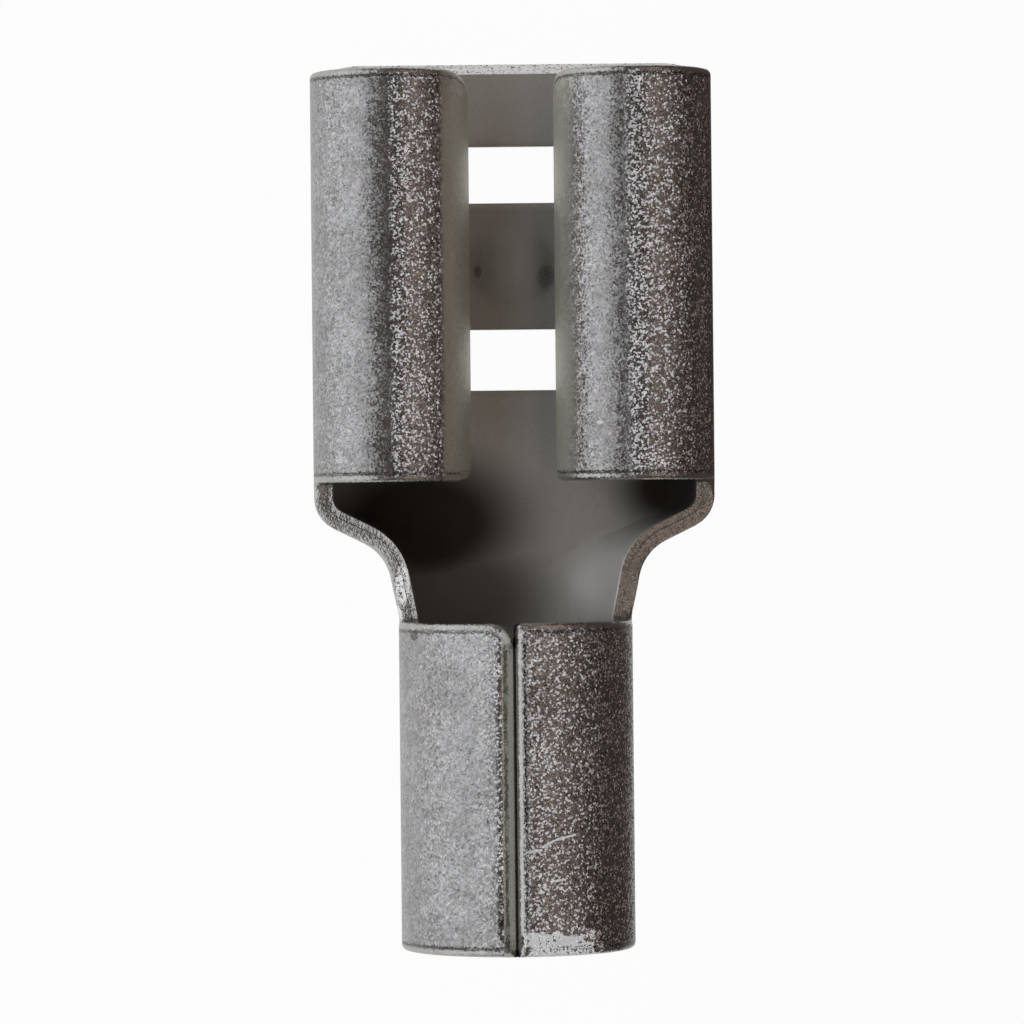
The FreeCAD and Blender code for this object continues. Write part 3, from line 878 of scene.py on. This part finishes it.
class Paint:
    """The node tree of a material or of the world."""

    def __init__(self, owner):
        self.owner = owner
        owner.use_nodes = True
        self.tree = owner.node_tree
        self.tree.nodes.clear()

    def node(self, kind, settings=None, inputs=None, output=0):
        """Adds a node: its settings first, then its sockets' values or links. Gives one of its outputs."""
        node = self.tree.nodes.new(kind)
        for name, value in (settings or {}).items():
            setattr(node, name, value)
        for name, value in (inputs or {}).items():
            set_socket(self.tree, node.inputs[name], value)
        return Number(self.tree, node.outputs[output]) if len(node.outputs) else None

    def place(self):
        """The Object coordinates."""
        return self.node("ShaderNodeTexCoord", output="Object")

    def noise(self, place, size, detail=2.0, roughness=0.5, output=0):
        """Noise whose grains are about as large as a size in metres, from about 0.3 to 0.7."""
        inputs = {"Vector": place, "Scale": 1 / size, "Detail": detail, "Roughness": roughness}
        return self.node("ShaderNodeTexNoise", {"noise_dimensions": "3D"}, inputs, output)

    def blend(self, factor, first, second):
        """A colour between two others."""
        first, second = (c if isinstance(c, Number) else (*c, 1.0) for c in (first, second))
        return self.node("ShaderNodeMix", {"data_type": "RGBA"}, {0: factor, 6: first, 7: second}, 2)

    def vector(self, operation, *terms, scale=None, output=0):
        """Vector maths on up to three vectors, or on one and the number that scales it."""
        inputs = dict(enumerate(terms))
        if scale is not None:
            inputs["Scale"] = scale
        return self.node("ShaderNodeVectorMath", {"operation": operation}, inputs, output)

    def spot(self, place, centre, radii, fade, strength):
        """A spot in plan, at its full strength in the middle: it fades by the distance, measured by its radii."""
        away = self.vector("SUBTRACT", place, (centre[0] * MM, centre[1] * MM, 0))
        away = self.vector("MULTIPLY", away, (1 / radii[0] / MM, 1 / radii[1] / MM, 0))
        return (1 - self.vector("LENGTH", away, output="Value").rise(*fade)) * strength

    def scratch(self, place, first, second, width):
        """A straight scratch in plan: 1 on the line between two places, fading over its width and its ends."""
        run = (second[0] - first[0], second[1] - first[1])
        far = math.hypot(*run)
        along = (run[0] / far / MM, run[1] / far / MM, 0)
        across = (-along[1], along[0], 0)
        away = self.vector("SUBTRACT", place, (first[0] * MM, first[1] * MM, 0))
        beside = abs(self.vector("DOT_PRODUCT", away, across, output="Value")).rise(width, 0)
        on = self.vector("DOT_PRODUCT", away, along, output="Value")
        return beside * on.rise(-0.1 * far, 0.2 * far) * on.rise(1.1 * far, 0.7 * far)

    def finish(self, surface, output="ShaderNodeOutputMaterial"):
        self.node(output, inputs={"Surface": surface})
        return self.owner


def largest(*numbers):
    """The largest of some numbers, place by place."""
    return reduce(Number.at_least, numbers)


def grains(paint, place, size, steepness):
    """For each grain of the plating: a random lean, a tone to darken or lighten it by, and how far it glints.

    The tone is the mean of three random numbers plus a half, faintly tinted by each of them. A grain glints by an eased
    step on the first of them, from the share of grains that doesn't glint up to 1. Where it is used, a glinting grain
    leans into the light and is painted brighter, a painted highlight.
    """
    chance = paint.node("ShaderNodeTexVoronoi", {"feature": "F1"}, {"Vector": place, "Scale": 1 / size}, "Color")
    lean = paint.vector("MULTIPLY_ADD", chance, (2.0, 2.0, 2.0), (-1.0, -1.0, -1.0))
    tone = paint.vector("DOT_PRODUCT", chance, (1 / 3, 1 / 3, 1 / 3), output="Value")
    tint = paint.vector("MULTIPLY_ADD", chance, (TINT,) * 3, (1 - TINT / 2,) * 3)
    glinting = paint.node("ShaderNodeSeparateXYZ", inputs={0: chance}, output="X").rise(NOT_GLINTING, 1.0)
    return paint.vector("SCALE", lean, scale=steepness), paint.vector("SCALE", tint, scale=0.5 + tone), glinting


class Plating:
    """The tin plating's noises and masks, each a number over the surface, and the colour that they give."""

    def __init__(self, finish):
        paint = Paint(bpy.data.materials.new("tin_plate"))
        place = paint.place()
        self.finish, self.paint, self.place = finish, paint, place
        self.axes = {
            axis: paint.node("ShaderNodeSeparateXYZ", inputs={0: place}, output=axis) / MM for axis in "XYZ"
        }
        bands, inside, edge = (
            paint.node("ShaderNodeAttribute", {"attribute_name": name}, output="Fac")
            for name in ("cut", "inside", "edge")
        )
        self.cut = bands.rise(0.2, 0.4)
        self.step = bands.rise(0.6, 0.7) * bands.rise(0.9, 0.8)
        self.outside = (1 - inside) * (1 - self.cut)
        self.grain = paint.noise(place, 0.6 * finish.grain, 3.0, 0.6)
        self.coarse = paint.noise(place, 1.5 * finish.grain, 2.0, 0.5)
        self.cloud = paint.noise(place, 1.1 * MM, 3.0, 0.55)
        self.patch = paint.noise(place, 0.35 * MM, 4.0, 0.6)
        self.lead_in = inside * self.region("lead_in")
        self.smooth = inside * (1 - self.lead_in)
        self.plain = 1 - 0.9 * self.smooth
        self.top = self.outside * self.region("top")
        self.lip = self.outside * self.region("left_lip", "right_lip")
        ragged = edge + (self.coarse - 0.5) * EDGE_UNEVEN
        # A lighter band along the outer edges, a painted highlight of their rounding, and behind it a groove of bump
        # that is painted dark as shade
        self.band = self.outside * ragged.rise(*EDGE_HIGHLIGHT)
        self.groove = (1 - inside) * ragged.rise(*GROOVE_INNER) * ragged.rise(*GROOVE_OUTER)
        self.slant = self.cut * self.region("seam")
        # Where the trough's painted shade lies
        self.trough_shade = self.smooth * self.spots("wall_shade", "under_roll_shade", "foot_shade")
        flecks = (0.5 * self.grain + 0.5 * self.coarse).rise(0.46, 0.38)
        self.fleck = flecks * self.plain * (1 - 0.8 * self.lead_in)
        self.shines()

    def region(self, *names, **bent):
        """Where some regions are that don't overlap: each is the product of its rises, on the axes or on bent ones."""
        axes = {**self.axes, **bent}
        return sum(math.prod(axes[axis].rise(*ends) for axis, *ends in REGIONS[name]) for name in names)

    def spots(self, *names):
        """Where any of some spots is: the largest of them."""
        return largest(*(self.paint.spot(self.place, *SPOTS[name]) for name in names))

    def shines(self):
        """Grains, scratches, a nick and bright places: what is painted bright there, mostly painted highlight, and what
        leans to the left, into the light.
        """
        finish, paint = self.finish, self.paint
        bent = paint.noise(self.place, finish.grain / 0.6, output="Color")
        bent = paint.vector("MULTIPLY_ADD", bent, (0.7 * finish.grain,) * 3, self.place)
        self.fine, self.fine_tone, glint = grains(paint, bent, finish.grain, finish.steepness)
        size, steepness = LARGE_SIZE * finish.grain, LARGE_LEAN * finish.steepness
        self.large, self.large_tone, _ = grains(paint, bent, size, steepness)
        coarse_side = self.region("coarse_left", "coarse_right", "coarse_barrel")
        glint = glint * self.outside * (1 - 0.7 * self.lip) * (1 - 0.7 * self.band) * coarse_side
        uneven = (self.patch - 0.5) * 1.2
        bent_axes = {"X": self.axes["X"] + uneven, "Y": self.axes["Y"] + uneven * 0.4}
        # Painted highlight near the barrel's end: bright colour, smoother and leaned into the light
        self.barrel_end_highlight = self.top * self.region("barrel_end_highlight", **bent_axes) * self.coarse.rise(0.3, 0.52)
        # Painted highlight on the cut rim, which also leans into the light
        rim = self.cut * self.spots("rim_highlight") * self.coarse.rise(0.4, 0.5)
        self.scratches = largest(*(paint.scratch(self.place, *ends) for ends in SCRATCHES))
        scratched = self.scratches * self.top
        nick = self.spots("roll_nick") * self.outside
        # Painted bright: highlights on the barrel's end, the glinting grains and the cut rim, with the scratches and
        # the nick
        self.shine = largest(self.barrel_end_highlight, nick, scratched, glint ** 2 * 0.35, rim)
        self.lit = largest(self.barrel_end_highlight * 1.3, scratched * 1.1, glint, self.slant * 1.1, rim * 0.7)

    def colour(self):
        """Clouded tin, toned grain by grain, and over it layers, each by a mask, its strength and its colour; several
        layers are painted shade or painted highlight.
        """
        finish, paint = self.finish, self.paint
        tin = paint.blend((self.cloud + self.patch).rise(0.75, 1.25), finish.dull, finish.tin)
        tin = paint.blend(0.5, tin, finish.tin)
        tin = paint.blend(self.smooth * 0.8, tin, finish.inner)
        tin = paint.blend(self.plain, tin, paint.vector("MULTIPLY", tin, self.fine_tone))
        tin = paint.blend(0.4 * self.plain, tin, paint.vector("MULTIPLY", tin, self.large_tone))
        web_spots = self.smooth * self.spots("web_spot_left", "web_spot_right")
        layers = (
            (self.fleck, 0.55, finish.stain),
            # Painted shade on the right flanks
            (self.outside * self.region("roll_right_shade", "barrel_right_shade"), 0.35, finish.dull),
            (self.lip, 0.8, finish.worn),
            # Painted highlight along the outer edges' rounding
            (self.band, 0.6, finish.cut),
            # Painted highlight on the barrel's front edge
            (self.band * self.region("barrel_corner_highlight"), 1, finish.bright),
            (self.cut, 0.7, finish.cut),
            (self.cut * self.coarse.rise(0.46, 0.36), 0.35, finish.stain),
            (self.step, 0.8, finish.stain),
            (self.lead_in, 0.9, finish.bright),
            (self.slant, 1, finish.worn),
            # Painted shade in the seam
            (self.slant * self.region("seam_shade"), 1, finish.stain),
            # Painted shade in the groove behind the edges
            (self.groove * self.patch.rise(0.35, 0.55), 0.75, finish.stain),
            # Painted highlight on the trough's right wall
            (self.smooth * self.spots("wall_highlight"), 1, finish.bright),
            # Painted shade in the trough
            (self.trough_shade, 1, finish.trough_shade),
            (web_spots * self.grain.rise(0.35, 0.5), 0.65, finish.stain),
            (self.smooth * self.region("web"), 0.3, finish.dull),
            (self.top * self.spots("neck_pit") * self.grain.rise(0.4, 0.5), 0.85, finish.stain),
            (self.top * self.spots("seam_stain") * self.patch.rise(0.4, 0.55), 0.85, finish.stain),
            # Painted highlight, with the scratches and the nick
            (self.shine, 1, finish.bright),
        )
        for mask, strength, colour in layers:
            tin = paint.blend(mask * strength, tin, colour)
        return tin


def tin_plate(finish):
    """Matte tin plating: a crust of small facets outside, duller inside, stained, scratched and rubbed in places, with
    painted shade and painted highlights.

    Metallic and roughness are plain sums of the masks. The normal is that of the relief, plus the grains' leans,
    plus a lean to the left where the plating is lit.
    """
    tin = Plating(finish)
    paint = tin.paint
    metallic = 0.95 - 0.35 * tin.smooth - 0.35 * tin.lip - 0.6 * tin.trough_shade - 0.6 * tin.slant
    rough = finish.roughness + (tin.patch - 0.5) * 0.12 + tin.fleck * 0.15
    rough = rough + tin.smooth * 0.38 + tin.lip * 0.2 + tin.trough_shade * 0.2 - tin.barrel_end_highlight * 0.12
    relief = 0.3 * tin.coarse * tin.plain + tin.cut * tin.coarse * 0.8 - tin.scratches * 0.5 - tin.groove * 1.5
    inputs = {"Strength": 1.0, "Distance": RELIEF, "Height": relief}
    bumped = paint.node("ShaderNodeBump", inputs=inputs, output="Normal")
    sparkle = tin.plain * (1 - 0.3 * tin.lip) * (1 + 0.8 * tin.lead_in + 0.8 * tin.barrel_end_highlight - 0.4 * tin.cut)
    leans = paint.vector("SCALE", paint.vector("ADD", tin.fine, tin.large), scale=sparkle)
    leans = paint.vector("ADD", leans, paint.vector("SCALE", (-1.0, 0.0, 0.0), scale=tin.lit))
    normal = paint.vector("NORMALIZE", paint.vector("ADD", bumped, leans))
    inputs = {"Base Color": tin.colour(), "Metallic": metallic, "Roughness": rough, "Normal": normal}
    return paint.finish(paint.node("ShaderNodeBsdfPrincipled", inputs=inputs))


def pale_floor(studio):
    """A pale floor that shows white to the camera and in reflections, and keeps the object's shadow.

    The metal reflects its white only up to the object's right side, where the floor itself is painted darker too: a
    painted shadow that the metal shows.
    """
    paint = Paint(bpy.data.materials.new("pale_floor"))
    seen, glossy, passed = (
        paint.node("ShaderNodeLightPath", output=f"Is {kind} Ray") for kind in ("Camera", "Glossy", "Transmission")
    )
    across = paint.node("ShaderNodeSeparateXYZ", inputs={0: paint.place()}, output="X") / HIGH.x
    shade = paint.blend(across.rise(*FLOOR_DARKENS), studio.floor, studio.floor_right)
    diffuse = paint.node("ShaderNodeBsdfDiffuse", inputs={"Color": shade})
    white = paint.node("ShaderNodeEmission", inputs={"Color": (*WHITE, 1.0), "Strength": 1.0})
    share_white = (seen * SEEN_WHITE + glossy * GLOSSY_WHITE * across.rise(*WHITE_ENDS) + passed).at_most(1.0)
    return paint.finish(paint.node("ShaderNodeMixShader", inputs={0: share_white, 1: diffuse, 2: white}))


def studio_world(studio):
    """White behind the object, and a dim warm room for everything else."""
    paint = Paint(bpy.data.worlds.new("studio"))
    seen = paint.node("ShaderNodeLightPath", output="Is Camera Ray")
    dim = paint.node("ShaderNodeBackground", inputs={"Color": (*studio.room, 1.0)})
    white = paint.node("ShaderNodeBackground", inputs={"Color": (*WHITE, 1.0)})
    mixed = paint.node("ShaderNodeMixShader", inputs={0: seen, 1: dim, 2: white})
    return paint.finish(mixed, "ShaderNodeOutputWorld")


# Operators

# The softboxes: the two long sides of each, across and up in metres, how brightly it shines, and its tint
SOFTBOXES = {
    "softbox": ((-0.16, 0.0), (-0.078, 0.13), 0.72, (0.96, 0.975, 1.0)),
    "softbox_rim": ((-0.078, 0.13), (-0.052, 0.14), 0.35, (0.94, 0.97, 1.0)),
}

# How long every panel of light is, the energy per area that makes it shine as an emission of 1 does, and the
# floor's reach in lengths of half the terminal
PANEL_LENGTH = 0.4
UNIT_ENERGY = 4
FLOOR_REACH = 40


class TERMINAL_OT_sheet(Operator):
    """Make the folded, tin-plated sheet"""

    bl_idname = "terminal.sheet"
    bl_label = "Folded sheet"

    def execute(self, context):
        mesh = made_mesh("terminal_sheet", *sheet_mesh(context.scene.terminal_form))
        piece = bpy.data.objects.new("terminal_sheet", mesh)
        context.scene.collection.objects.link(piece)
        mesh.materials.append(tin_plate(context.scene.terminal_finish))
        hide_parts(NODE)
        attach(piece, "root")
        return {"FINISHED"}


class TERMINAL_OT_stage(Operator):
    """Make the floor, the light and the camera"""

    bl_idname = "terminal.stage"
    bl_label = "Studio"

    def execute(self, context):
        studio = context.scene.terminal_studio
        self.floor(context, studio)
        self.light(context, studio)
        self.camera(context, studio)
        context.scene.view_settings.view_transform = "Standard"
        return {"FINISHED"}

    def floor(self, context, studio):
        reach = FLOOR_REACH * HIGH.y
        mesh = bpy.data.meshes.new("floor")
        corners = [(x * reach, y * reach, -TINY) for x, y in ((-1, -1), (1, -1), (1, 1), (-1, 1))]
        mesh.from_pydata(corners, [], [(0, 1, 2, 3)])
        floor = bpy.data.objects.new("floor", mesh)
        context.scene.collection.objects.link(floor)
        mesh.materials.append(pale_floor(studio))

    def light(self, context, studio):
        """Softboxes on the left, and on the right tubes that dim by the square of their lean's cosine."""
        for name, softbox in SOFTBOXES.items():
            self.panel(context, name, *softbox)
        half = studio.fill_width / 2
        for count, lean in enumerate(studio.fill_leans):
            right, up = math.sin(lean), math.cos(lean)
            first, second = (
                (studio.fill_reach * right + side * up, studio.fill_reach * up - side * right) for side in (-half, half)
            )
            self.panel(context, f"fill_{count}", first, second, studio.fill_strength * up ** 2, studio.fill_tint)
        context.scene.world = studio_world(studio)

    def panel(self, context, name, first, second, radiance, tint):
        """A long panel over the whole object, between two places in the plane across it, from left to right."""
        lamp = bpy.data.lights.new(name, "AREA")
        lamp.shape = "RECTANGLE"
        across, up = second[0] - first[0], second[1] - first[1]
        lamp.size, lamp.size_y = math.hypot(across, up), PANEL_LENGTH
        lamp.energy = UNIT_ENERGY * lamp.size * lamp.size_y * radiance
        lamp.color = tint
        panel = bpy.data.objects.new(name, lamp)
        panel.location = ((first[0] + second[0]) / 2, 0, (first[1] + second[1]) / 2)
        panel.rotation_euler = (0, -math.atan2(up, across), 0)
        panel.visible_camera = False
        context.scene.collection.objects.link(panel)

    def camera(self, context, studio):
        data = bpy.data.cameras.new("camera")
        data.lens = studio.lens
        data.clip_start = MM
        camera = bpy.data.objects.new("camera", data)
        camera.location = (studio.camera_x, studio.camera_y, studio.camera_height)
        camera.rotation_euler = (0, 0, studio.camera_roll)
        context.scene.collection.objects.link(camera)
        context.scene.camera = camera


class TERMINAL_PT_parts(Panel):
    """Lists what the terminal is made of"""

    bl_idname = "TERMINAL_PT_parts"
    bl_label = "Spade terminal"
    bl_space_type = "VIEW_3D"
    bl_region_type = "UI"
    bl_category = "Terminal"

    def draw(self, context):
        for operator in OPERATORS:
            self.layout.operator(operator.bl_idname)


OPERATORS = (TERMINAL_OT_sheet, TERMINAL_OT_stage)
CLASSES = (SheetForm, TinFinish, StudioSetup, *OPERATORS, TERMINAL_PT_parts)


def register():
    for item in CLASSES:
        bpy.utils.register_class(item)
    bpy.types.Scene.terminal_form = PointerProperty(type=SheetForm)
    bpy.types.Scene.terminal_finish = PointerProperty(type=TinFinish)
    bpy.types.Scene.terminal_studio = PointerProperty(type=StudioSetup)


def unregister():
    del bpy.types.Scene.terminal_studio
    del bpy.types.Scene.terminal_finish
    del bpy.types.Scene.terminal_form
    for item in reversed(CLASSES):
        bpy.utils.unregister_class(item)


def main():
    register()
    bpy.ops.terminal.sheet()
    bpy.ops.terminal.stage()


if __name__ == "__main__":
    main()
